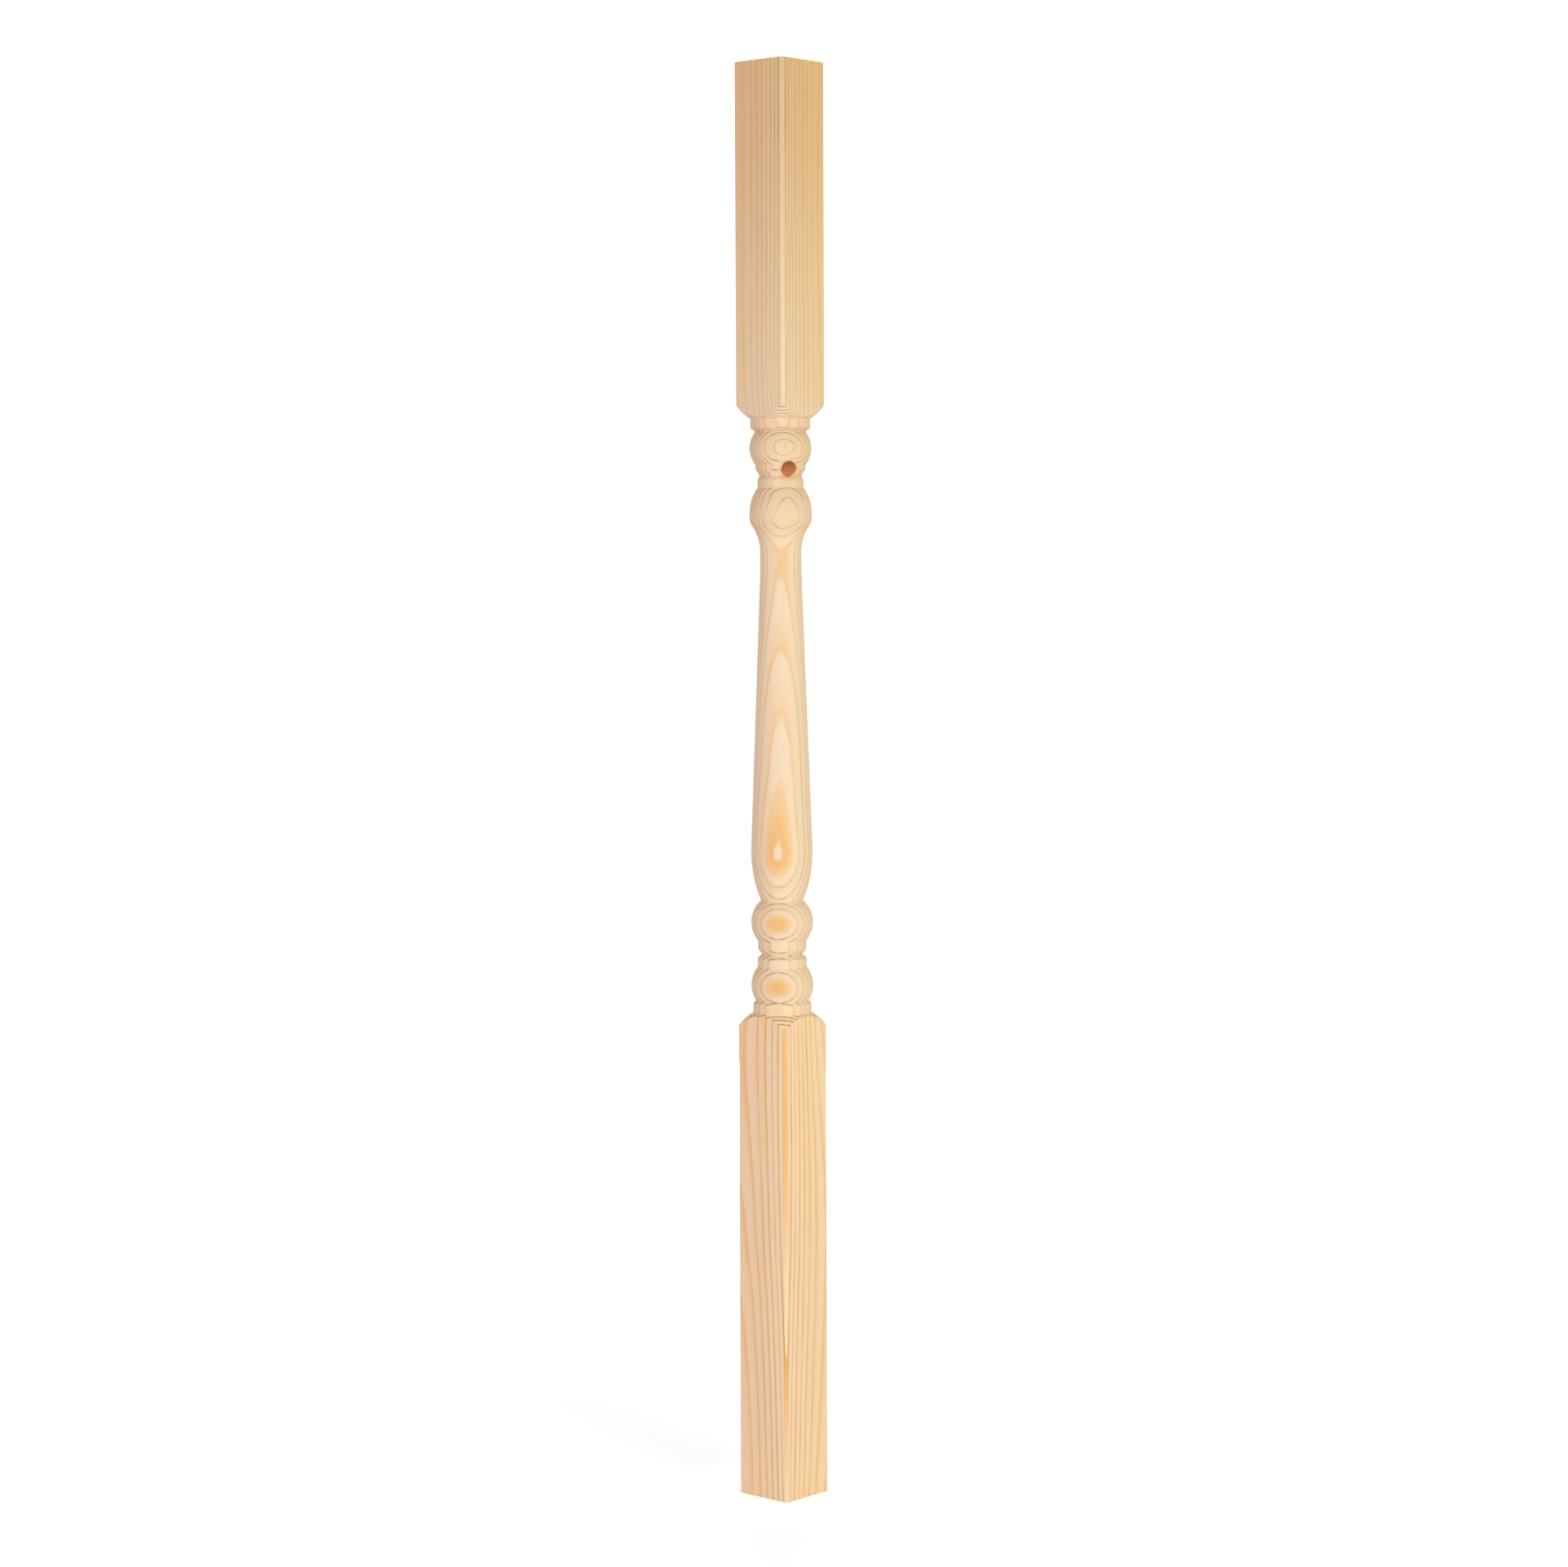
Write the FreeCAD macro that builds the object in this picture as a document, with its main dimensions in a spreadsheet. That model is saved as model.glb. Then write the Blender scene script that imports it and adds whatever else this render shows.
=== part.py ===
"""Stair baluster, turned from one square blank of pine. Millimetres, +Z up, origin at the foot."""
import FreeCAD, Part
import math
import os
import Sketcher

NODE = "baluster"

# Driving dimensions: the blank first, then the turning from the foot to the head. Each name becomes a
# cell of the sheet. The head block is what the overall length leaves above the turning.
SIZES = {
    "overall_length": 900.0,
    "blank_width": 40.0,
    "arris_radius": 1.5,
    "corner_overrun": 0.2,
    "foot_block_length": 297.5,
    "shoulder_radius": 30.0,
    "lower_shoulder_rise": 9.8,
    "lower_collar_dia": 36.6,
    "lower_collar_length": 6.1,
    "lower_quirk_dia": 33.4,
    "lower_quirk_height": 1.6,
    "lower_bead_radius": 18.4,
    "lower_bead_height": 21.2,
    "lower_fillet_dia": 31.0,
    "lower_fillet_height": 5.4,
    "lower_vee_dia": 25.4,
    "lower_vee_half_height": 2.9,
    "middle_fillet_dia": 30.4,
    "middle_fillet_height": 5.6,
    "middle_bead_radius": 18.0,
    "middle_bead_height": 25.2,
    "vase_neck_dia": 26.5,
    "vase_bulb_radius": 81.0,
    "vase_bulb_height": 34.2,
    "vase_bulb_dia": 38.5,
    "vase_taper_length": 171.6,
    "throat_dia": 25.9,
    "throat_length": 12.6,
    "flare_cove_radius": 28.0,
    "flare_cove_height": 15.3,
    "flare_turn_dia": 34.0,
    "flare_round_radius": 16.0,
    "flare_round_height": 4.9,
    "cap_dia": 38.9,
    "cap_length": 4.6,
    "ovolo_radius": 25.0,
    "ovolo_height": 15.7,
    "upper_fillet_dia": 28.8,
    "upper_fillet_height": 5.2,
    "upper_vee_dia": 26.2,
    "upper_vee_lower_height": 2.5,
    "upper_vee_upper_height": 4.0,
    "upper_ring_dia": 31.4,
    "upper_ring_height": 2.5,
    "upper_bead_radius": 16.8,
    "upper_bead_height": 20.7,
    "upper_quirk_dia": 31.6,
    "upper_quirk_height": 2.2,
    "upper_collar_dia": 37.5,
    "upper_collar_length": 5.7,
    "upper_shoulder_rise": 10.0,
}

# Stands for the diameter just outside the blank's corners, where each shoulder starts or ends.
CORNER = "corner"

# The turned outline, one step after another up the blank: the step's height, the diameter at its top
# and, for a curved step, its radius and whether it is round (bulges out) or hollow (curves in).
TURNING = [
    ("lower_shoulder_rise", "lower_collar_dia", "shoulder_radius", "round"),
    ("lower_collar_length", "lower_collar_dia", None, None),
    ("lower_quirk_height", "lower_quirk_dia", None, None),
    ("lower_bead_height", "lower_fillet_dia", "lower_bead_radius", "round"),
    ("lower_fillet_height", "lower_fillet_dia", None, None),
    ("lower_vee_half_height", "lower_vee_dia", None, None),
    ("lower_vee_half_height", "middle_fillet_dia", None, None),
    ("middle_fillet_height", "middle_fillet_dia", None, None),
    ("middle_bead_height", "vase_neck_dia", "middle_bead_radius", "round"),
    ("vase_bulb_height", "vase_bulb_dia", "vase_bulb_radius", "round"),
    ("vase_taper_length", "throat_dia", None, None),
    ("throat_length", "throat_dia", None, None),
    ("flare_cove_height", "flare_turn_dia", "flare_cove_radius", "hollow"),
    ("flare_round_height", "cap_dia", "flare_round_radius", "round"),
    ("cap_length", "cap_dia", None, None),
    ("ovolo_height", "upper_fillet_dia", "ovolo_radius", "round"),
    ("upper_fillet_height", "upper_fillet_dia", None, None),
    ("upper_vee_lower_height", "upper_vee_dia", None, None),
    ("upper_vee_upper_height", "upper_ring_dia", None, None),
    ("upper_ring_height", "upper_ring_dia", None, None),
    ("upper_bead_height", "upper_quirk_dia", "upper_bead_radius", "round"),
    ("upper_quirk_height", "upper_collar_dia", None, None),
    ("upper_collar_length", "upper_collar_dia", None, None),
    ("upper_shoulder_rise", CORNER, "shoulder_radius", "round"),
]

START, END = 1, 2      # the two ends of a sketch line or arc
ORIGIN = (-1, 1)       # the sketch's own origin point


def make_sheet(doc):
    """The driving dimensions: a name and a plain number on each row."""
    sheet = doc.addObject("Spreadsheet::Sheet", "Sizes")
    for row, (name, value) in enumerate(SIZES.items(), start=1):
        sheet.set(f"A{row}", name)
        sheet.set(f"B{row}", str(value))
        sheet.setAlias(f"B{row}", name)
    doc.recompute()


def origin_plane(body, role):
    return next(feature for feature in body.Origin.OriginFeatures if feature.Role == role)


def new_sketch(body, name, role):
    sketch = body.newObject("Sketcher::SketchObject", name)
    sketch.AttachmentSupport = [(origin_plane(body, role), "")]
    sketch.MapMode = "FlatFace"
    return sketch


def bind(sketch, kind, places, value, name, expression):
    """Add one named dimension to a sketch and tie it to the sheet."""
    index = sketch.addConstraint(Sketcher.Constraint(kind, *places, value))
    sketch.renameConstraint(index, name)
    sketch.setExpression(f"Constraints.{name}", expression)


def draw_blank(body):
    """The square section, centred on the axis."""
    sketch = new_sketch(body, "BlankSection", "XY_Plane")
    width = SIZES["blank_width"]
    half = width / 2
    corners = [(-half, -half), (half, -half), (half, half), (-half, half)]
    points = [FreeCAD.Vector(x, y, 0) for x, y in corners]
    for index, point in enumerate(points):
        sketch.addGeometry(Part.LineSegment(point, points[(index + 1) % 4]), False)
    for index in range(4):
        sketch.addConstraint(Sketcher.Constraint("Coincident", index, END, (index + 1) % 4, START))
        direction = "Horizontal" if index % 2 == 0 else "Vertical"
        sketch.addConstraint(Sketcher.Constraint(direction, index))
    sketch.addConstraint(Sketcher.Constraint("Symmetric", 0, START, 1, END, *ORIGIN))
    bind(sketch, "DistanceX", (0, START, 0, END), width, "width", "Sizes.blank_width")
    bind(sketch, "DistanceY", (1, START, 1, END), width, "depth", "Sizes.blank_width")
    return sketch


def corner_radius():
    """Just outside the blank's corners, where each shoulder starts to cut."""
    return SIZES["blank_width"] / math.sqrt(2) + SIZES["corner_overrun"]


CORNER_EXPRESSION = "Sizes.blank_width / sqrt(2) + Sizes.corner_overrun"


def step_radius(diameter):
    return corner_radius() if diameter == CORNER else SIZES[diameter] / 2


def radius_expression(diameter):
    return CORNER_EXPRESSION if diameter == CORNER else f"Sizes.{diameter} / 2"


def step_curve(low, high, radius, form):
    """The line or arc of one step, and which of its ends is the lower one."""
    if radius is None:
        return Part.LineSegment(low, high), START
    chord = high - low
    middle = (low + high) * 0.5
    reach = math.sqrt(SIZES[radius] ** 2 - chord.Length ** 2 / 4)
    inward = FreeCAD.Vector(-chord.y, chord.x, 0).normalize()
    centre = middle + inward * (reach if form == "round" else -reach)
    circle = Part.Circle(centre, FreeCAD.Vector(0, 0, 1), SIZES[radius])
    first, last = (low, high) if form == "round" else (high, low)
    angles = [math.atan2(point.y - centre.y, point.x - centre.x) for point in (first, last)]
    if angles[1] < angles[0]:
        angles[1] += 2 * math.pi
    return Part.ArcOfCircle(circle, *angles), START if form == "round" else END


def draw_waste(body):
    """The section of all the wood that the lathe takes away, beside the axis."""
    sketch = new_sketch(body, "TurningWaste", "XZ_Plane")
    low = FreeCAD.Vector(corner_radius(), SIZES["foot_block_length"], 0)
    bottom_ends = []
    for height, diameter, radius, form in TURNING:
        high = FreeCAD.Vector(step_radius(diameter), low.y + SIZES[height], 0)
        curve, bottom = step_curve(low, high, radius, form)
        sketch.addGeometry(curve, False)
        bottom_ends.append(bottom)
        low = high
    top_ends = [END if bottom == START else START for bottom in bottom_ends]

    bind(sketch, "DistanceX", (*ORIGIN, 0, bottom_ends[0]), corner_radius(),
         "lower_corner", CORNER_EXPRESSION)
    bind(sketch, "DistanceY", (*ORIGIN, 0, bottom_ends[0]), SIZES["foot_block_length"],
         "foot_block", "Sizes.foot_block_length")
    for index, (height, diameter, radius, form) in enumerate(TURNING):
        bottom, top = (index, bottom_ends[index]), (index, top_ends[index])
        bind(sketch, "DistanceY", (*bottom, *top), SIZES[height],
             f"step_{index}_height", f"Sizes.{height}")
        bind(sketch, "DistanceX", (*ORIGIN, *top), step_radius(diameter),
             f"step_{index}_radius", radius_expression(diameter))
        if radius is not None:
            bind(sketch, "Radius", (index,), SIZES[radius],
                 f"step_{index}_curve", f"Sizes.{radius}")
        if index > 0:
            below = (index - 1, top_ends[index - 1])
            sketch.addConstraint(Sketcher.Constraint("Coincident", *below, *bottom))
    close_waste(sketch, bottom_ends[0], top_ends[-1], low)
    return sketch


def close_waste(sketch, first_end, last_end, top):
    """Carry the waste out past the blank, so that it closes outside the wood."""
    outside = SIZES["blank_width"]
    foot = SIZES["foot_block_length"]
    corners = [
        top,
        FreeCAD.Vector(outside, top.y, 0),
        FreeCAD.Vector(outside, foot, 0),
        FreeCAD.Vector(corner_radius(), foot, 0),
    ]
    out, down, back = [
        sketch.addGeometry(Part.LineSegment(start, end), False)
        for start, end in zip(corners, corners[1:])
    ]
    joins = [
        (len(TURNING) - 1, last_end, out, START),
        (out, END, down, START),
        (down, END, back, START),
        (back, END, 0, first_end),
    ]
    for join in joins:
        sketch.addConstraint(Sketcher.Constraint("Coincident", *join))
    sketch.addConstraint(Sketcher.Constraint("Horizontal", out))
    sketch.addConstraint(Sketcher.Constraint("Vertical", down))
    sketch.addConstraint(Sketcher.Constraint("Horizontal", back))
    bind(sketch, "DistanceX", (*ORIGIN, down, START), outside, "outside", "Sizes.blank_width")


def upright_edges(shape):
    """The names of the blank's four long arrises."""
    names = []
    for number, edge in enumerate(shape.Edges, start=1):
        ends = [vertex.Point for vertex in edge.Vertexes]
        along = ends[1] - ends[0]
        if abs(along.z) > math.hypot(along.x, along.y):
            names.append(f"Edge{number}")
    return names


def make_baluster(doc):
    """Saw the blank, round its arrises, then turn its middle."""
    body = doc.addObject("PartDesign::Body", NODE)
    body.Label = NODE

    blank = body.newObject("PartDesign::Pad", "Blank")
    blank.Profile = draw_blank(body)
    blank.Length = SIZES["overall_length"]
    blank.setExpression("Length", "Sizes.overall_length")
    doc.recompute()

    arrises = body.newObject("PartDesign::Fillet", "Arrises")
    arrises.Base = (blank, upright_edges(blank.Shape))
    arrises.Radius = SIZES["arris_radius"]
    arrises.setExpression("Radius", "Sizes.arris_radius")
    doc.recompute()

    turning = body.newObject("PartDesign::Groove", "Turning")
    waste = draw_waste(body)
    turning.Profile = waste
    turning.ReferenceAxis = (waste, ["V_Axis"])
    turning.Angle = 360
    body.Tip = turning
    doc.recompute()
    if not turning.Shape.Volume < arrises.Shape.Volume:
        raise RuntimeError("the turning removed no wood")
    return body


def check(doc, body):
    """Stop if any feature failed or the finished piece isn't one sound solid."""
    for item in doc.Objects:
        if "Invalid" in item.State or "Error" in item.State:
            raise RuntimeError(f"{item.Label} failed: {item.State}")
    shape = body.Shape
    if shape.isNull() or not shape.isValid() or len(shape.Solids) != 1:
        raise RuntimeError(f"{body.Label} isn't one valid solid")


def main():
    doc = FreeCAD.newDocument("StairBaluster")
    make_sheet(doc)
    body = make_baluster(doc)
    check(doc, body)
    os.makedirs("parts", exist_ok=True)
    body.Shape.exportStep(f"parts/{body.Label}.step")
    box = body.Shape.optimalBoundingBox()
    print(f"{body.Label}: {box.XLength:.2f} x {box.YLength:.2f} x {box.ZLength:.2f} mm,"
          f" {body.Shape.Volume / 1000:.1f} cm3")


main()
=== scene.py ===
# %% [markdown]
# # A turned pine stair baluster
# A baluster is one of the many slim posts under a handrail. This one is a single
# stick of pine: it was planed to a square section, mounted on a lathe and turned
# between two blocks that stay square. There are no joints and nothing is glued on, so
# the whole lesson is about one outline and one honest piece of wood.

# %% Load the measured part
import math

import bmesh
import bpy
from mathutils import Matrix, Vector


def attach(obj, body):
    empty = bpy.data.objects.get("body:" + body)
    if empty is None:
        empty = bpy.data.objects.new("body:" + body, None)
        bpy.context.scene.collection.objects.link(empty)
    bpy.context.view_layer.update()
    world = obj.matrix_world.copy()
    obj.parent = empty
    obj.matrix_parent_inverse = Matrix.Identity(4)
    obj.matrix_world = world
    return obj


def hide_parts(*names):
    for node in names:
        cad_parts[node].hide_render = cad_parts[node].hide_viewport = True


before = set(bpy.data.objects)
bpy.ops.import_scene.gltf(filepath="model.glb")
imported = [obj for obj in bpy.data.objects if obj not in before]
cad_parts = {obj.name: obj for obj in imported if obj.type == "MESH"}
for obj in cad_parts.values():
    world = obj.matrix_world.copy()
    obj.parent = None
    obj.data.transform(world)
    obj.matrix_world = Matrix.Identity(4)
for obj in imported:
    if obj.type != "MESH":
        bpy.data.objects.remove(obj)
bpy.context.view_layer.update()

# %% [markdown]
# ## The planed blank
# The real post starts as a square stick whose long edges, the arrises, are rounded with
# a few strokes of the plane. The saw leaves sharp rims at the ends, and sandpaper takes
# them off. The measured part is a coarse mesh meant for collisions, so the post is
# modelled again here, finer, on the same sizes and with the arrises a touch rounder. A
# square with round corners could be extruded for it. A cube whose four upright edges are
# bevelled, and then its rims, is chosen because it follows the plane and the sandpaper.

# %% A way to pick edges
MM = 0.001
POST_LENGTH = 900.0


def is_upright(edge):
    start, end = (vert.co for vert in edge.verts)
    return abs(end.z - start.z) > POST_LENGTH * MM / 2


def is_rim(edge):
    return not is_upright(edge)


def pick_edges(rule):
    """Selects, in edit mode, only the edges for which rule is true, and counts them."""
    bpy.ops.mesh.select_mode(type="EDGE")
    bpy.ops.mesh.select_all(action="DESELECT")
    mesh = bmesh.from_edit_mesh(bpy.context.object.data)
    for edge in mesh.edges:
        edge.select_set(rule(edge))
    mesh.select_flush_mode()
    bmesh.update_edit_mesh(bpy.context.object.data)
    return sum(edge.select for edge in mesh.edges)


print("edges of a post", POST_LENGTH, "mm long can be picked")

# %% Plane the blank
BLANK_WIDTH = 40.0
ARRIS_RADIUS = 2.0
ARRIS_SEGMENTS = 8
RIM_RADIUS = 0.3
RIM_SEGMENTS = 3

bpy.ops.object.select_all(action="DESELECT")
bpy.ops.mesh.primitive_cube_add(size=1, location=(0, 0, POST_LENGTH * MM / 2))
bpy.ops.transform.resize(value=(BLANK_WIDTH * MM, BLANK_WIDTH * MM, POST_LENGTH * MM))
bpy.ops.object.transform_apply(location=True, rotation=True, scale=True)
post = bpy.context.object
post.name = "turned_post"
bpy.ops.object.mode_set(mode="EDIT")
arrises = pick_edges(is_upright)
bpy.ops.mesh.bevel(offset=ARRIS_RADIUS * MM, segments=ARRIS_SEGMENTS, affect="EDGES")
rims = pick_edges(is_rim)
bpy.ops.mesh.bevel(offset=RIM_RADIUS * MM, segments=RIM_SEGMENTS, affect="EDGES")
bpy.ops.object.mode_set(mode="OBJECT")
print("blank", [round(v / MM, 2) for v in post.dimensions], "mm with", arrises, "arrises and",
      rims, "rim edges rounded")

# %% [markdown]
# ## The turned outline
# A turner works from a pin stick: a list of heights and diameters, with a note of which
# stretches are beads and which are hollows. A curve could be drawn by eye instead, but a
# list keeps every size in view and can be corrected by a tenth of a millimetre. Each row
# is one stretch of the outline, from the foot up: its name, its height, the diameter at
# its upper end, and for a bead or a hollow the radius of its arc.

# %% Write the pin stick
FOOT_BLOCK_LENGTH = 297.5
CORNER_OVERRUN = 0.2
SHOULDER_RADIUS = 30.0
CORNER_DIAMETER = BLANK_WIDTH * math.sqrt(2) + 2 * CORNER_OVERRUN
STRAIGHT, ROUND, HOLLOW = 0, 1, -1

PIN_STICK = [
    ("lower shoulder", 9.8, 36.6, ROUND, SHOULDER_RADIUS),
    ("lower collar", 6.1, 36.6, STRAIGHT, 0),
    ("lower quirk", 1.6, 33.4, STRAIGHT, 0),
    ("lower bead", 21.2, 31.0, ROUND, 18.4),
    ("lower fillet", 5.4, 31.0, STRAIGHT, 0),
    ("lower vee, in", 2.9, 25.4, STRAIGHT, 0),
    ("lower vee, out", 2.9, 30.4, STRAIGHT, 0),
    ("middle fillet", 5.6, 30.4, STRAIGHT, 0),
    ("middle bead", 25.2, 26.5, ROUND, 18.0),
    ("vase bulb", 34.2, 38.5, ROUND, 81.0),
    ("vase taper", 171.6, 25.9, STRAIGHT, 0),
    ("throat", 12.6, 25.9, STRAIGHT, 0),
    ("flare hollow", 15.3, 34.0, HOLLOW, 28.0),
    ("flare round", 4.9, 38.9, ROUND, 16.0),
    ("cap", 4.6, 38.9, STRAIGHT, 0),
    ("ovolo", 15.7, 28.8, ROUND, 25.0),
    ("upper fillet", 5.2, 28.8, STRAIGHT, 0),
    ("upper vee, in", 2.5, 26.2, STRAIGHT, 0),
    ("upper vee, out", 4.0, 31.4, STRAIGHT, 0),
    ("upper ring", 2.5, 31.4, STRAIGHT, 0),
    ("upper bead", 20.7, 31.6, ROUND, 16.8),
    ("upper quirk", 2.2, 37.5, STRAIGHT, 0),
    ("upper collar", 5.7, 37.5, STRAIGHT, 0),
    ("upper shoulder", 10.0, CORNER_DIAMETER, ROUND, SHOULDER_RADIUS),
]
print(len(PIN_STICK), "stretches are turned, from", PIN_STICK[0][0], "to", PIN_STICK[-1][0])

# %% Draw the outline
ARC_STEP = 1.1
EASE = 0.35
EASE_SHARE = 0.4
EASED_ABOVE = math.radians(20)


def arc_points(start, end, radius, bulge):
    """Points on an arc of this radius, after start and up to end, as (radius, height)."""
    chord = end - start
    inward = Vector((-chord.y, chord.x)).normalized() * bulge
    centre = (start + end) / 2 + inward * math.sqrt(radius**2 - chord.length_squared / 4)
    turn = (start - centre).angle_signed(end - centre)
    steps = math.ceil(abs(turn) * radius / ARC_STEP)
    turned = [Matrix.Rotation(-turn * i / steps, 2) @ (start - centre) for i in range(1, steps)]
    return [centre + spoke for spoke in turned] + [end]


def outline_points():
    """The half outline of the turning, from the top of the foot block up."""
    here = Vector((CORNER_DIAMETER / 2, FOOT_BLOCK_LENGTH))
    points = [here]
    for name, height, diameter, bulge, radius in PIN_STICK:
        there = Vector((diameter / 2, here.y + height))
        points += arc_points(here, there, radius, bulge) if bulge else [there]
        here = there
    return points


def eased(points):
    """The outline with each sharp corner rubbed down, as a turner does with fine paper."""
    rubbed = [points[0]]
    for before, corner, after in zip(points, points[1:], points[2:]):
        back, on = before - corner, after - corner
        if abs((-back).angle_signed(on)) < EASED_ABOVE:
            rubbed.append(corner)
            continue
        start = corner + back.normalized() * min(EASE, back.length * EASE_SHARE)
        end = corner + on.normalized() * min(EASE, on.length * EASE_SHARE)
        rubbed += [start, (start + 2 * corner + end) / 4, end]
    return rubbed + [points[-1]]


outline = eased(outline_points())
print("outline of", len(outline), "points, turned from", outline[0].y, "to",
      round(outline[-1].y, 2), "mm")

# %% [markdown]
# ## The lathe
# Spinning the outline about the post's axis gives the shape that the lathe would leave
# if the blank were thick enough. It is wider than the blank beside the two square
# blocks, so that nothing is cut there. A Screw modifier could spin it too, but the Spin
# operator leaves a plain mesh that can be mended at once. The outline is drawn as by
# hand: one vertex, extruded from point to point.

# %% Spin the outline
LATHE_STEPS = 240
END_CLEARANCE = 2.0
MERGE_DISTANCE = 0.001

lathe_radius = CORNER_DIAMETER / 2
bottom, top = -END_CLEARANCE, POST_LENGTH + END_CLEARANCE
chain = [Vector((0, bottom)), Vector((lathe_radius, bottom))]
chain += outline
chain += [Vector((lathe_radius, top)), Vector((0, top))]

bpy.ops.object.select_all(action="DESELECT")
bpy.ops.mesh.primitive_plane_add(size=MM, location=(0, 0, 0))
lathe = bpy.context.object
bpy.ops.object.mode_set(mode="EDIT")
bpy.ops.mesh.select_mode(type="VERT")
bpy.ops.mesh.select_all(action="SELECT")
bpy.ops.mesh.merge(type="CENTER")
bpy.ops.transform.translate(value=(chain[0].x * MM, 0, chain[0].y * MM))
for here, there in zip(chain, chain[1:]):
    move = (there - here) * MM
    bpy.ops.mesh.extrude_region_move(TRANSFORM_OT_translate={"value": (move.x, 0, move.y)})
bpy.ops.mesh.select_all(action="SELECT")
bpy.ops.mesh.spin(steps=LATHE_STEPS, angle=math.tau, center=(0, 0, 0), axis=(0, 0, 1))
bpy.ops.mesh.select_all(action="SELECT")
bpy.ops.mesh.remove_doubles(threshold=MERGE_DISTANCE * MM)
bpy.ops.mesh.normals_make_consistent(inside=False)
bpy.ops.object.mode_set(mode="OBJECT")
print("lathe shape", [round(v / MM, 2) for v in lathe.dimensions], "mm,",
      len(lathe.data.polygons), "faces")

# %% [markdown]
# ## Turning the blank
# The finished post is what the blank and the lathe shape have in common. Where the round
# shoulder meets the flat sides, the cut leaves the curved line that every square-to-round
# turning shows. That line could be modelled by hand, but a Boolean modifier finds it
# exactly, as the gouge does. Weighted normals then keep the flats flat up to their edges.

# %% Cut the post
EDGE_ANGLE = math.radians(25)

bpy.ops.object.select_all(action="DESELECT")
bpy.context.view_layer.objects.active = post
post.select_set(True)
turning = post.modifiers.new("turning", "BOOLEAN")
turning.operation = "INTERSECT"
turning.solver = "EXACT"
turning.object = lathe
bpy.ops.object.modifier_apply(modifier=turning.name)
bpy.data.objects.remove(lathe)

bpy.ops.object.shade_smooth_by_angle(angle=EDGE_ANGLE)
crisp = post.modifiers.new("crisp flats", "WEIGHTED_NORMAL")
crisp.keep_sharp = True
bpy.ops.object.modifier_apply(modifier=crisp.name)

check = bmesh.new()
check.from_mesh(post.data)
open_edges = sum(not edge.is_manifold for edge in check.edges)
print("post has", len(check.faces), "faces,", open_edges, "open edges,",
      round(check.calc_volume() / MM**3 / 1000, 1), "cubic centimetres")
check.free()

# %% [markdown]
# ## A notation for shaders
# Wood is mostly arithmetic: how far a point lies from the pith decides which year ring
# it is in. The nodes for that could be placed one by one, but such a tree is hard to
# read, so one small class lets the sums be written as plain Python. Every operator on a
# wire adds one Math node.

# %% A wire that can be used in sums
def lay_points(mapping, points):
    """Places the points of a float curve, given as (across, up), both from 0 to 1."""
    curve = mapping.curves[0]
    while len(curve.points) < len(points):
        curve.points.new(0.5, 0.5)
    for point, place in zip(curve.points, points):
        point.location = place
    mapping.update()


class Wire:
    """One output socket. Sums of wires and numbers add Math nodes."""

    def __init__(self, socket):
        self.socket = socket

    def node(self, kind, settings=None, sockets=None, out=0):
        """Any node: its settings are set first, then the values or links of its sockets."""
        tree = self.socket.id_data
        made = tree.nodes.new(kind)
        for name, value in (settings or {}).items():
            if name == "points":
                lay_points(made.mapping, value)
            else:
                setattr(made, name, value)
        for key, value in (sockets or {}).items():
            if isinstance(value, Wire):
                tree.links.new(value.socket, made.inputs[key])
            else:
                made.inputs[key].default_value = value
        return Wire(made.outputs[out])

    def math(self, operation, *values):
        return self.node("ShaderNodeMath", {"operation": operation}, dict(enumerate(values)))

    def __add__(self, other):
        return self.math("ADD", self, other)

    def __radd__(self, other):
        return self.math("ADD", other, self)

    def __sub__(self, other):
        return self.math("SUBTRACT", self, other)

    def __rsub__(self, other):
        return self.math("SUBTRACT", other, self)

    def __mul__(self, other):
        return self.math("MULTIPLY", self, other)

    def __rmul__(self, other):
        return self.math("MULTIPLY", other, self)

    def __truediv__(self, other):
        return self.math("DIVIDE", self, other)

    def __rtruediv__(self, other):
        return self.math("DIVIDE", other, self)

    def __pow__(self, other):
        return self.math("POWER", self, other)

    def __rpow__(self, other):
        return self.math("POWER", other, self)


print("a wire knows sums, products, quotients and powers")

# %% [markdown]
# ## Helpers for wires
# Some nodes are needed again and again: a smooth step, noise, a curve through a few
# points, two colours mixed. They could be written out each time. A short function for
# each keeps the pages about the wood free of node names.

# %% Steps, noise, curves and colours
def part_of(vector, axis):
    """One coordinate of a vector wire."""
    return vector.node("ShaderNodeSeparateXYZ", None, {0: vector}, "XYZ".index(axis))


def ease(value, low, high):
    """A smooth step from 0 at low to 1 at high. It falls where low is above high."""
    sockets = {0: value, 1: low, 2: high}
    if low > high:
        sockets = {0: value, 1: high, 2: low, 3: 1.0, 4: 0.0}
    return value.node("ShaderNodeMapRange", {"interpolation_type": "SMOOTHSTEP"}, sockets)


def noise(vector, waves, detail=2.0):
    """Soft noise round 0.5. waves says how many of them fit in a millimetre, per axis."""
    settings = {"operation": "MULTIPLY"}
    scaled = vector.node("ShaderNodeVectorMath", settings, {0: vector, 1: waves})
    sockets = {"Vector": scaled, "Scale": 1.0, "Detail": detail}
    return vector.node("ShaderNodeTexNoise", None, sockets)


def along(value, points):
    """Reads a smooth curve through a few (place, reading) points."""
    first, last = points[0][0], points[-1][0]
    readings = [reading for place, reading in points]
    low, span = min(readings), max(readings) - min(readings)
    dots = [((place - first) / (last - first), (reading - low) / span) for place, reading in points]
    share = value.node("ShaderNodeMapRange", None, {0: value, 1: first, 2: last})
    curve = value.node("ShaderNodeFloatCurve", {"points": dots}, {1: share})
    return curve * span + low


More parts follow.
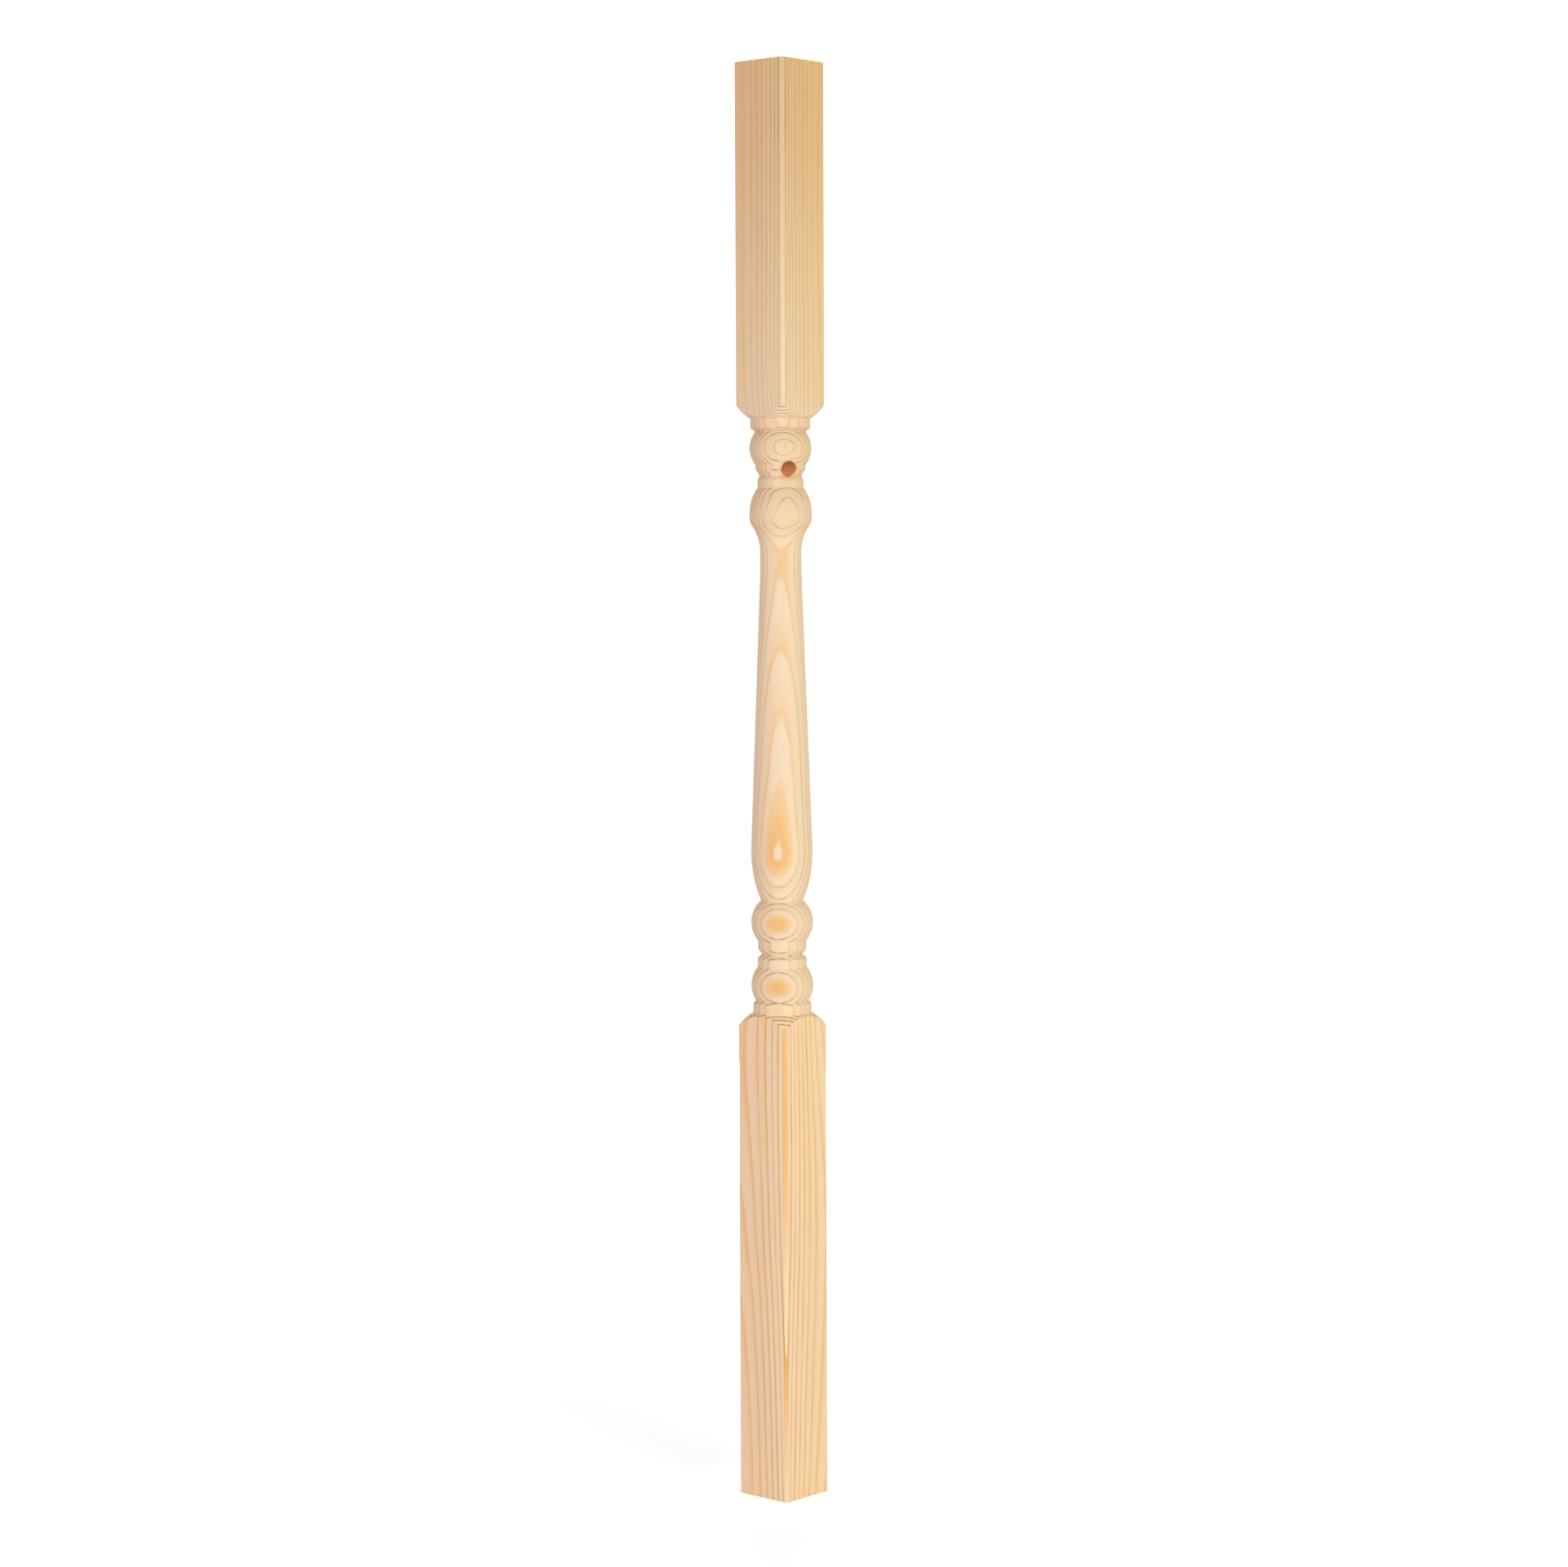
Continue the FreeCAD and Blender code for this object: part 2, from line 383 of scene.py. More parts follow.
def mix(share, first, second, blend="MIX"):
    """Two colours mixed by a share from 0 to 1. The first colour is a wire."""
    settings = {"data_type": "RGBA", "blend_type": blend}
    return first.node("ShaderNodeMix", settings, {0: share, 6: first, 7: second}, 2)


def flat(wire, rgba):
    """One even colour as a wire, in the same tree as the given wire."""
    even = wire.node("ShaderNodeRGB")
    even.socket.default_value = rgba
    return even


def grey(value):
    """The same number in all three channels, to darken or lighten a colour with."""
    return value.node("ShaderNodeCombineColor", None, {0: value, 1: value, 2: value})


def colour(red, green, blue):
    """A colour as it is seen on a screen, 0 to 255, as the linear numbers that shaders use."""
    shares = [channel / 255 for channel in (red, green, blue)]
    return (*[s / 12.92 if s <= 0.04 else ((s + 0.055) / 1.055) ** 2.4 for s in shares], 1.0)


print("middle grey is", round(colour(128, 128, 128)[0], 3), "to a shader")

# %% [markdown]
# ## Where the year rings run
# The stick was sawn so that the pith of the log lies just behind it, and the rings cross
# it as arcs that bulge towards the front corner. A flat pattern laid on the post would
# look wrong at every cut, so the rings are worked out in space. The log tapered and
# wavered as it grew, so a ring isn't straight along the post: curves say where one chosen
# ring lies at each height, how wide the rings are and how far the pith strays to the
# side. Just below the knot the rings bulge once more, which draws an egg on the cap of
# the vase, and on the right of the foot they swerve. On a straight block the curves give
# lines that drift, and on a vase they give the nested tongues that make turned pine so
# lively. All lengths in these curves are millimetres.

# %% Curves along the log
BARK_SIDE = math.radians(41.5)
PITH_DEPTH = 36.0
RING_PLACE = [
    (0, 29.2), (82, 27.7), (130, 26.45), (180, 25.2), (270, 24.5), (330, 24.82), (370, 24.65),
    (410, 24.27), (455, 24.24), (490, 24.0), (540, 24.5), (590, 24.62), (612, 24.4), (640, 24.4),
    (662, 24.75), (710, 24.0), (800, 24.3), (900, 24.4),
]
CAP_BULGE = [
    (600, 0.0), (611, -0.4), (612.6, 0.0), (614, 0.43), (618, 0.95), (624, 1.45), (626, 1.4),
    (630, 0.85), (632, 0.45), (634, -0.15), (640, -0.5), (650, 0.0),
]
RING_WIDTH = [
    (0, 2.7), (270, 2.65), (330, 2.55), (490, 2.55), (581, 2.3), (631, 2.3), (662, 2.0), (900, 2.0),
]
LAST_RING_WIDTH = [(0, 3.8), (300, 3.7), (420, 2.6), (690, 2.0), (900, 2.0)]
PITH_SIDE = [
    (0, -1.1), (65, -2.0), (190, 0.0), (220, 1.2), (270, 3.5), (330, 4.5), (370, 4.5), (420, 3.6),
    (490, 0.5), (585, 0.0), (612, -2.5), (632, -9.0), (662, -4.6), (720, -1.0), (900, -1.0),
]
SIDE_SWERVE = [
    (0, 0.3), (100, 0.45), (150, 0.0), (200, -0.2), (250, -0.5), (300, -1.1), (330, 0.0),
]
print("rings about", RING_WIDTH[0][1], "mm wide, pith", PITH_DEPTH, "mm behind the axis")

# %% [markdown]
# ## The knot
# A branch grew out of the log here. It could be painted as a round spot, but then it
# would end at the surface. It began at the pith and thickened as the trunk did, so the
# knot is a cone: every length round it is divided by how far out the point lies. One of
# its corners is squashed, the rings swell round it, and close to it the grain is unruly.

# %% The knot as a cone
KNOT_HEIGHT = 648.3
KNOT_SIDE = 6.0
KNOT_RADIUS = 5.6
KNOT_FLAT = 5.1
KNOT_SQUASH = 0.5
SWELL_REACH = 14.0
WILD_REACH = 24.0


class Knot:
    """How a point lies from the middle of the branch, measured as it would be on the bark."""

    def __init__(self, side, out, height):
        growth = out / (PITH_DEPTH + BLANK_WIDTH / 2)
        self.side = side / growth - KNOT_SIDE
        self.rise = (height - KNOT_HEIGHT) / growth
        past_flat = self.side - self.rise - KNOT_FLAT
        away = (self.side * self.side + self.rise * self.rise) ** 0.5
        self.away = away + KNOT_SQUASH * past_flat.math("MAXIMUM", past_flat, 0.0)
        self.swell = ease(self.away, SWELL_REACH, 0)
        self.wild = ease(self.away, WILD_REACH, 0)


print("knot", 2 * KNOT_RADIUS, "mm wide at a height of", KNOT_HEIGHT, "mm")

# %% [markdown]
# ## Rings through any point
# The age of a point is its distance from the pith. A Wave texture could draw such rings,
# but they would be perfect circles of one width, so the age is worked out here and
# wavered a little. Dividing by the width of a ring gives the year, and what is left over
# is the season. More readings say how the surface was cut: flat on a ring or across it,
# how steeply it runs towards the end grain, and whether it is a sawn end.

# %% Grain at a point
FINE = 3.0
FIBRES = (2.2, 2.2, 0.03)
FIBRE_FRAY = 0.1
WAVER = (0.04, 0.04, 0.010)
WAVER_DEPTH = 0.3
RIPPLE = (0.25, 0.25, 0.02)
RIPPLE_DEPTH = 0.35
TANGLE = (0.2, 0.2, 0.25)
TANGLE_DEPTH = 3.0
SWELL_DEPTH = 2.2
SWERVE_SIDE = (6, 24)
SAWN_STEEP = (0.9, 0.99)
ARRIS_OUT = PITH_DEPTH + BLANK_WIDTH / math.sqrt(2) - ARRIS_RADIUS
ARRIS_STRIP = (ARRIS_OUT + 0.2, ARRIS_OUT + 0.5)


def right_and_bark(x, y):
    """How far a level direction goes to the right, and how far towards the bark."""
    cosine, sine = math.cos(BARK_SIDE), math.sin(BARK_SIDE)
    return x * cosine + y * sine, x * sine - y * cosine


class Grain:
    """Where a point of the surface lies in the log it was sawn from."""

    def __init__(self, place, normal):
        x, y, z = (part_of(place, axis) for axis in "XYZ")
        self.place, self.height = place, z
        self.side, from_axis = right_and_bark(x, y)
        self.out = from_axis + PITH_DEPTH
        self.arris = ease(self.out, *ARRIS_STRIP)
        self.knot = Knot(self.side, self.out, z)
        self.fibre = noise(place, FIBRES, FINE)

        pith_side = along(z, PITH_SIDE)
        self.off_pith = self.side - pith_side
        self.reach = (self.off_pith * self.off_pith + self.out * self.out) ** 0.5
        pith_to_axis = (pith_side * pith_side + PITH_DEPTH**2) ** 0.5
        self.find_year(self.reach - pith_to_axis)
        self.find_cut(normal)

    def find_year(self, age):
        """The year ring and the season, from an age that is measured in millimetres."""
        z = self.height
        waver = noise(self.place, WAVER) - 0.5
        ripple = noise(self.place, RIPPLE, FINE) - 0.5
        tangle = noise(self.place, TANGLE) - 0.5
        age = age + WAVER_DEPTH * waver + RIPPLE_DEPTH * ripple
        age = age + TANGLE_DEPTH * self.knot.wild * tangle - SWELL_DEPTH * self.knot.swell
        age = age + ease(self.side, *SWERVE_SIDE) * along(z, SIDE_SWERVE)

        past = age - along(z, RING_PLACE) - along(z, CAP_BULGE)
        inner = past.math("MINIMUM", past, 0.0) / along(z, RING_WIDTH)
        outer = past.math("MAXIMUM", past, 0.0) / along(z, LAST_RING_WIDTH)
        rings = inner + outer + FIBRE_FRAY * (self.fibre - 0.5)
        self.year = rings.math("FLOOR", rings)
        self.season = rings - self.year
        settings = {"noise_dimensions": "1D"}
        self.chance = self.year.node("ShaderNodeTexWhiteNoise", settings, {"W": self.year})

    def find_cut(self, normal):
        """How the surface lies: across the rings, steep towards the end grain, or sawn."""
        x, y, z = (part_of(normal, axis) for axis in "XYZ")
        to_right, to_bark = right_and_bark(x, y)
        facing_bark = (to_right * self.off_pith + to_bark * self.out) / self.reach
        self.across = 1 - facing_bark * facing_bark
        self.steep = z.math("ABSOLUTE", z)
        self.sawn = ease(self.steep, *SAWN_STEEP)


print("grain ready, with fibres about", round(1 / FIBRES[0], 2), "mm apart")

# %% [markdown]
# ## Stretches of the post
# The wood changes along the stick: the rings of the foot are drawn boldly, and those of
# the neck, round the knot, are pale. Every step below could test the height by itself,
# but then the same heights would be written many times. Instead each stretch has a share
# that is 1 inside it and fades to 0 outside, and a level can be raised or lowered by the
# name of a stretch where that is needed.

# %% Shares along the post
class Stretch:
    """Shares that say which stretch of the post a height belongs to.

    Each pair of numbers is a height in millimetres where the share is 0 and one where it is 1.
    """

    def __init__(self, height):
        self.foot = ease(height, 316, 302)
        self.bulb = ease(height, 362, 372) * ease(height, 405, 385)
        self.flare = ease(height, 594, 602) * ease(height, 618, 613)
        self.neck = ease(height, 600, 614) * ease(height, 700, 670)
        self.bead = ease(height, 636, 646) * ease(height, 700, 670)
        self.head = ease(height, 680, 700)
        self.heart = ease(height, 680, 900)

    def level(self, base, **extras):
        """A level that is base everywhere, with something added in the named stretches."""
        for name, extra in extras.items():
            base = base + extra * getattr(self, name)
        return base


print("shares for foot, bulb, flare, neck, bead, head and heartwood")

# %% [markdown]
# ## Spring and summer wood
# Each ring starts as pale, soft wood in spring and turns orange through the summer. Some
# years are richer than others. Where the surface lies flat on a ring it shows a broad
# orange patch, and on the foot the front arris shows a strip of it. One colour ramp over
# the season would paint every year alike, so the share of summer wood is worked out from
# the season, the year and the way the surface was cut.

# %% Spring and summer wood
SPRING_WOOD = colour(241, 216, 184)
SUMMER_WOOD = colour(240, 189, 120)
RESIN_WOOD = colour(236, 174, 92)
YEAR_RICHNESS = [
    (-14, 0.35), (-7, 0.48), (-6, 0.6), (-5, 0.6), (-4, 0.5), (-3, 1.0), (-2, 0.3), (-1, 0.9),
    (0, 1.0), (1, 0.3), (2, 0.3),
]
EARLY_SUMMER = (0.34, 0.54)
LATE_SUMMER = (0.5, 0.98)
EARLY_STRENGTH = 0.54
ARRIS_STRENGTH = 0.85
LYING_ACROSS = (0.25, 0.03)


def soft_wood(grain, stretch):
    """The wood between two autumn lines, pale in spring and orange in summer."""
    rich = along(grain.year, YEAR_RICHNESS)
    lying = ease(grain.across, *LYING_ACROSS) * stretch.level(1, foot=-0.6)
    arris = ARRIS_STRENGTH * stretch.foot * grain.arris
    early = ease(grain.season, *EARLY_SUMMER) * lying.math("MAXIMUM", lying, arris)
    late = ease(grain.season, *LATE_SUMMER) * stretch.level(0.5, foot=0.1)
    summer = rich * (EARLY_STRENGTH * early * rich + late)
    summer = summer * stretch.level(1, neck=-0.9, head=-0.4)
    ripe = mix(stretch.foot, flat(summer, SUMMER_WOOD), RESIN_WOOD)
    return mix(summer, flat(summer, SPRING_WOOD), ripe)


print("soft wood for", YEAR_RICHNESS[-1][0] - YEAR_RICHNESS[0][0], "years")

# %% [markdown]
# ## Autumn lines
# Every ring ends in a thin, hard line. Where the surface cuts across the rings the lines
# are brown, and darkest on the steep flanks of the beads. Where it lies along a ring the
# line widens and turns golden, and a sawn end shows it softly. Lines of one strength
# would look inked, so noise lets each one fade and return, and on the foot and the lower
# beads they are stronger on the left than on the right.

# %% Autumn lines
AUTUMN_LINE = colour(172, 114, 58)
LYING_LINE = colour(218, 160, 92)
LINE_SEASON = 0.88
LINE_WIDTH = 0.07
LINE_WIDTH_SPREAD = 0.06
STEEP_BROADENING = 0.6
SAWN_SOFTENING = 0.6
LEFT_LINES = [(0, 0.9), (60, 0.9), (150, 1.1), (260, 1.15), (320, 1.45), (370, 1.5), (390, 1.0)]
RIGHT_LINES = [(0, 0.7), (150, 0.78), (200, 0.72), (260, 0.55), (320, 0.5), (370, 0.5), (390, 1.0)]
LEFT_TO_RIGHT = (-12, 12)
FADES = (0.3, 0.3, 0.012)
FADE_LEVEL = (0.33, 0.67)
FULL_MOOD = 1.1
BROWN_CROSSING = (0.05, 0.45)


def line_mood(grain, stretch):
    """How strong a line is for no reason but its place: it fades and comes back."""
    swing = ease(noise(grain.place, FADES), *FADE_LEVEL) - 0.5
    mood = FULL_MOOD + swing * stretch.level(1.2, neck=-0.9)
    left, right = along(grain.height, LEFT_LINES), along(grain.height, RIGHT_LINES)
    return mood * (left + (right - left) * ease(grain.side, *LEFT_TO_RIGHT))


def line_share(grain, stretch):
    """1 in the middle of a strong line, 0 off the line."""
    off_line = grain.season - LINE_SEASON
    width = stretch.level(1, foot=0.8, head=0.6) + STEEP_BROADENING * grain.steep
    width = width * (LINE_WIDTH + LINE_WIDTH_SPREAD * grain.chance)
    line = ease(off_line.math("ABSOLUTE", off_line) / width, 1.0, 0.0)
    crossed = stretch.level(0.46, foot=0.5, head=0.1, heart=0.5) * grain.across
    flank = stretch.level(0.8, foot=0.55, bead=-0.35, bulb=-0.55, flare=-0.4) * grain.steep
    cut = stretch.level(0.08, neck=0.1, bead=0.22) + crossed + flank
    return line * cut * line_mood(grain, stretch) * (1 - SAWN_SOFTENING * grain.sawn)


def line_tone(grain, stretch):
    """Brown where the surface crosses the rings, golden where it lies along one."""
    crossing = grain.across + grain.steep + stretch.level(0, neck=-0.4, flare=-0.3)
    return mix(ease(crossing, *BROWN_CROSSING), flat(crossing, LYING_LINE), AUTUMN_LINE)


print("a line ends each ring at", LINE_SEASON, "of its year")

# %% [markdown]
# ## A whole ring
# Pine has resin canals, fine dark strokes that run with the grain, and an end that was
# sawn across them looks a little darker. They could be modelled as scratches, but they
# are colour rather than shape, so they only tint the soft wood and its lines.

# %% Rings with resin canals
CANALS = (1.5, 1.5, 0.06)
CANAL_LEVEL = (0.66, 0.76)
CANAL_TINT = (0.93, 0.85, 0.74, 1.0)
END_GRAIN_TINT = (1.0, 0.96, 0.88, 1.0)


def ring_colour(grain, stretch):
    """Spring, summer and autumn wood with their canals, as the surface cuts them."""
    wood = soft_wood(grain, stretch)
    wood = mix(line_share(grain, stretch), wood, line_tone(grain, stretch))
    canals = ease(noise(grain.place, CANALS), *CANAL_LEVEL)
    wood = mix(canals * (1 - grain.sawn), wood, CANAL_TINT, "MULTIPLY")
    return mix(grain.sawn, wood, END_GRAIN_TINT, "MULTIPLY")


print("canals about", round(1 / CANALS[2], 1), "mm long")

# %% [markdown]
# ## The tone of the whole stick
# Wood isn't one colour along its length. The foot is resinous and warm, and lighter by
# painted light, as if the floor's bounce lit it; the head runs into browner heartwood; the
# faces to the left carry a pinkish painted shade and those to the right a golden painted
# light; faint streaks follow the grain; and the head's arris has a painted highlight along
# its crown. Each block could have a material of its own, but then a seam would show, so one
# material is tinted by shares that fade into each other.

# %% Tones along the stick
# The foot tint warms the foot and lightens it; the lightening is painted light, as if bounced up
# from the floor.
FOOT_WARMTH_AND_PAINTED_LIGHT_TINT = (1.07, 1.02, 0.95, 1.0)
HEAD_TINT = (1.0, 0.97, 0.92, 1.0)
HEARTWOOD_TINT = (0.89, 0.79, 0.66, 1.0)
NECK_TINT = (0.97, 0.93, 0.89, 1.0)
# The two side tints are painted light: a pinkish painted shade on the faces to the left and a
# golden painted light on the faces to the right.
PAINTED_SHADE_LEFT_TINT = (0.97, 0.91, 0.92, 1.0)
PAINTED_LIGHT_RIGHT_TINT = (0.98, 0.955, 0.80, 1.0)
STREAK_TINT = (1.0, 0.93, 0.80, 1.0)
YEAR_TINT = (1.0, 0.97, 0.92, 1.0)
# The arris tint is a painted highlight along the crown of the head's front arris.
ARRIS_HIGHLIGHT_TINT = (1.09, 1.04, 1.03, 1.0)
STREAKS = (0.16, 0.16, 0.002)
STREAK_LEVEL = (0.5, 0.75)
LEFT_SIDE = (0, -15)
RIGHT_SIDE = (-5, 15)
ARRIS_CROWN = (ARRIS_OUT + 0.7, ARRIS_OUT + 1.0)
FIBRE_SHADE = 0.10


def stick_tone(grain, stretch, wood):
    """The slow changes of colour from foot to head and from side to side, partly painted light and
    shade.
    """
    streak = ease(noise(grain.place, STREAKS), *STREAK_LEVEL)
    # Painted warm light on the faces to the right, strongest on the head.
    painted_warm_light = ease(grain.side, *RIGHT_SIDE) * stretch.level(0.5, head=0.5, foot=0.2)
    # Painted highlight on the crown of the head's arris.
    painted_highlight = ease(grain.out, *ARRIS_CROWN) * (stretch.head - stretch.heart)
    tones = [
        (streak * stretch.level(0.5, head=0.5), STREAK_TINT),
        # Painted light and a warmer tone on the foot.
        (stretch.foot, FOOT_WARMTH_AND_PAINTED_LIGHT_TINT),
        (stretch.neck, NECK_TINT),
        (stretch.head, HEAD_TINT),
        (stretch.heart, HEARTWOOD_TINT),
        # Painted shade on the faces to the left, painted warm light on those to the right.
        (ease(grain.side, *LEFT_SIDE), PAINTED_SHADE_LEFT_TINT),
        (painted_warm_light, PAINTED_LIGHT_RIGHT_TINT),
        (grain.chance * grain.across, YEAR_TINT),
        # The painted highlight on the head's arris.
        (painted_highlight, ARRIS_HIGHLIGHT_TINT),
    ]
    for share, tint in tones:
        wood = mix(share, wood, tint, "MULTIPLY")
    return mix(1.0, wood, grey(1 + FIBRE_SHADE * (grain.fibre - 0.5)), "MULTIPLY")


print("tones run from the foot to the head")

# %% [markdown]
# ## Knot and checks
# The knot is dense, brown and resinous, darker where it was cut hardest, and its resin
# stains the wood beside and below it. Dry air opened two hair cracks, called checks, in
# the bead above it. They could be cut into the mesh, but they are finer than its faces,
# so they are drawn by the distance from a short line.

# %% Knot and checks
KNOT_DARK = colour(148, 82, 40)
KNOT_LIGHT = colour(192, 122, 74)
KNOT_HALO = colour(240, 180, 118)
KNOT_EDGE = 0.4
KNOT_RAGGED = 0.8
BLOTCHES = (0.9, 0.9, 0.7)
BLOTCH_REACH = 12
SHADE_RISE = (-4.5, 4.5)
STAIN_REACH = (11.0, 3.5)
STAIN_TO_SIDE = 0.3
STAIN_DOWN = 0.4
STAIN_STRENGTH = 0.6
CHECK_SHADE = colour(178, 132, 86)
CHECKS = [(3.3, 663.7, 2, 2.2), (6.0, 665.7, 57, 2.4)]
CHECK_WIDTH = 0.35
CHECK_FADE = 1.0
CHECK_STRENGTH = 0.8


def with_knot(grain, wood):
    """Lays the resin stain and the knot over the wood."""
    knot = grain.knot
    blotch = noise(grain.place, BLOTCHES, FINE) - 0.5
    rim = knot.away + KNOT_RAGGED * blotch
    stain = ease(rim - STAIN_TO_SIDE * knot.side + STAIN_DOWN * knot.rise, *STAIN_REACH)
    wood = mix(STAIN_STRENGTH * stain, wood, KNOT_HALO)
    shade = ease(knot.rise + BLOTCH_REACH * blotch, *SHADE_RISE)
    heart = mix(shade, flat(shade, KNOT_LIGHT), KNOT_DARK)
    return mix(ease(rim, KNOT_RADIUS + KNOT_EDGE, KNOT_RADIUS - KNOT_EDGE), wood, heart)


def with_checks(grain, wood):
    """Draws each check on the bark side: side, height, lean in degrees, half length."""
    on_bark_side = ease(grain.out, PITH_DEPTH, PITH_DEPTH + CHECK_FADE)
    for side, height, lean, reach in CHECKS:
        cosine, sine = math.cos(math.radians(lean)), math.sin(math.radians(lean))
        over, up = grain.side - side, grain.height - height
        beside = over * cosine + up * sine
        along_it = up * cosine - over * sine
        crack = ease(beside.math("ABSOLUTE", beside), CHECK_WIDTH, 0.0)
        crack = crack * ease(along_it.math("ABSOLUTE", along_it), reach, reach / 2)
        wood = mix(CHECK_STRENGTH * crack * on_bark_side, wood, CHECK_SHADE)
    return wood


print(len(CHECKS), "checks above the knot")

# %% [markdown]
# ## Bare pine
# The post was sanded and left without varnish, so it is matt, and the fibres can just be
# felt. It could be unwrapped and painted. Everything above is brought together instead in
# one material that reads the place of a point in the post, so it needs no unwrapping and
# runs true through every cut.

# %% The pine
SANDED_ROUGHNESS = 0.6
ROUGHNESS_SPREAD = 0.1
FIBRE_RELIEF = 0.1
RELIEF_STRENGTH = 0.25
SHEEN = 0.3


def pine(name):
    """Sanded pine, cut anywhere through the ring field."""
    material = bpy.data.materials.new(name)
    material.use_nodes = True
    tree = material.node_tree
    shader = tree.nodes["Principled BSDF"]
    coordinates = tree.nodes.new("ShaderNodeTexCoord")
    metres = Wire(coordinates.outputs["Object"])
    sockets = {0: metres, "Scale": 1 / MM}
    place = metres.node("ShaderNodeVectorMath", {"operation": "SCALE"}, sockets)
    grain = Grain(place, Wire(coordinates.outputs["Normal"]))
    stretch = Stretch(grain.height)
    wood = stick_tone(grain, stretch, ring_colour(grain, stretch))
    wood = with_checks(grain, with_knot(grain, wood))
    tree.links.new(wood.socket, shader.inputs["Base Color"])

    rough = SANDED_ROUGHNESS + ROUGHNESS_SPREAD * (grain.fibre - 0.5)
    tree.links.new(rough.socket, shader.inputs["Roughness"])
    sockets = {"Strength": RELIEF_STRENGTH, "Distance": FIBRE_RELIEF * MM, "Height": grain.fibre}
    relief = grain.fibre.node("ShaderNodeBump", None, sockets)
    tree.links.new(relief.socket, shader.inputs["Normal"])
    shader.inputs["Specular IOR Level"].default_value = SHEEN
    return material


post.data.materials.clear()
post.data.materials.append(pine("sanded_pine"))
print("pine laid on", post.name, "with", len(post.active_material.node_tree.nodes), "nodes")

# %% [markdown]
# ## Fitting the post to the frame
# The measured post could be dressed as it is, but its turnings are made of flat facets.
# So the fine post stands in for it, and the measured one stays in the file for the
# physics.

# %% Fit the post
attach(post, "root")
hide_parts("baluster")
print(post.name, "rides on root in place of the measured post")

# %% [markdown]
# ## Floor and background
# The post stands on a plain white floor before a white background. Lamps strong enough to
# make both white would bleach the wood. So they are white only for the eye: the light on
# the wood stays at a plain level, and the colours show as they were written. The floor
# glows a little less near the post, where the lamps reach it, so that it is just white
# there and keeps the shadow.

# %% White for the eye
def seen_share(tree):
    """1 for a ray that shows the surface to the eye, in a mirror or through glass."""
    light_path = tree.nodes.new("ShaderNodeLightPath")
    seen = Wire(light_path.outputs["Is Camera Ray"])
    for other in ("Is Glossy Ray", "Is Transmission Ray"):
        seen = seen.math("MAXIMUM", seen, Wire(light_path.outputs[other]))
    return seen


AMBIENT_LEVEL = 0.60
SEEN_LEVEL = 1.06

world = bpy.data.worlds.new("studio")
bpy.context.scene.world = world
world.use_nodes = True
tree = world.node_tree
sky = tree.nodes["Background"]
sky.inputs["Color"].default_value = (1, 1, 1, 1)
strength = AMBIENT_LEVEL + (SEEN_LEVEL - AMBIENT_LEVEL) * seen_share(tree)
tree.links.new(strength.socket, sky.inputs["Strength"])
print("background", SEEN_LEVEL, "for the eye and", AMBIENT_LEVEL, "for the wood")

# %% The floor
FLOOR_SIZE = 12.0
NEAR_GLOW = 0.385
FAR_GLOW = 0.48
GLOW_RISE = (0.5, 1.6)
FLOOR_COLOUR = colour(240, 240, 240)

bpy.ops.object.select_all(action="DESELECT")
bpy.ops.mesh.primitive_plane_add(size=FLOOR_SIZE, location=(0, 0, 0))
floor = bpy.context.object
floor.name = "studio_floor"

floor_paint = bpy.data.materials.new("studio_floor_paint")
floor_paint.use_nodes = True
tree = floor_paint.node_tree
tree.nodes.clear()
seen = seen_share(tree)
matt = seen.node("ShaderNodeBsdfDiffuse", None, {"Color": FLOOR_COLOUR})
place = Wire(tree.nodes.new("ShaderNodeTexCoord").outputs["Object"])
from_post = place.node("ShaderNodeVectorMath", {"operation": "LENGTH"}, {0: place}, 1)
level = NEAR_GLOW + (FAR_GLOW - NEAR_GLOW) * ease(from_post, *GLOW_RISE)
glow = seen.node("ShaderNodeEmission", None, {"Color": grey(level)})
lit = seen.node("ShaderNodeAddShader", None, {0: matt, 1: glow})
surface = seen.node("ShaderNodeMixShader", None, {0: seen, 1: matt, 2: lit})
output = tree.nodes.new("ShaderNodeOutputMaterial")
tree.links.new(surface.socket, output.inputs["Surface"])
floor.data.materials.append(floor_paint)
print("floor", FLOOR_SIZE, "m wide")

# %% [markdown]
# ## Lamps
# Turned work needs light from the side, or its beads look flat, but a bare bulb would
# throw hard shadows. Of three broad soft lamps, the key stands to the right of the camera,
# a weaker fill to its left, and one behind the post, so that no side falls dark. They hang
# low, so a narrow spot straight above lights the sawn top, and the top shades the rest of
# the post from it.

# %% Three soft lamps
LAMP_DISTANCE = 1.9
LAMP_HEIGHT = 0.35
LAMP_SIZE = 0.6
# Each lamp has a name, an azimuth in degrees and a level. A white wall that faces a lamp
# of level 1 would just be white.
LAMPS = [("key", 73, 0.36), ("fill", 0, 0.155), ("back", 221, 0.3)]
MIDDLE = Vector((0, 0, POST_LENGTH * MM / 2))


def facing(source, target):
    """The turn that points a lamp or a camera from source at target."""
    return (Vector(target) - Vector(source)).to_track_quat("-Z", "Y")


def round_the_post(azimuth, distance, height):
    """A place round the post: azimuth 0 is in front of -Y, and it grows towards +X."""
    return Vector((math.sin(azimuth) * distance, -math.cos(azimuth) * distance, height))


for name, azimuth, level in LAMPS:
    data = bpy.data.lights.new(name, "AREA")
    data.size = LAMP_SIZE
    lamp = bpy.data.objects.new(name, data)
    bpy.context.collection.objects.link(lamp)
    lamp.location = round_the_post(math.radians(azimuth), LAMP_DISTANCE, LAMP_HEIGHT)
    lamp.rotation_mode = "QUATERNION"
    lamp.rotation_quaternion = facing(lamp.location, MIDDLE)
    data.energy = level * (math.pi * (lamp.location - MIDDLE).length) ** 2
    print(name, "lamp of", round(data.energy, 1), "watts")

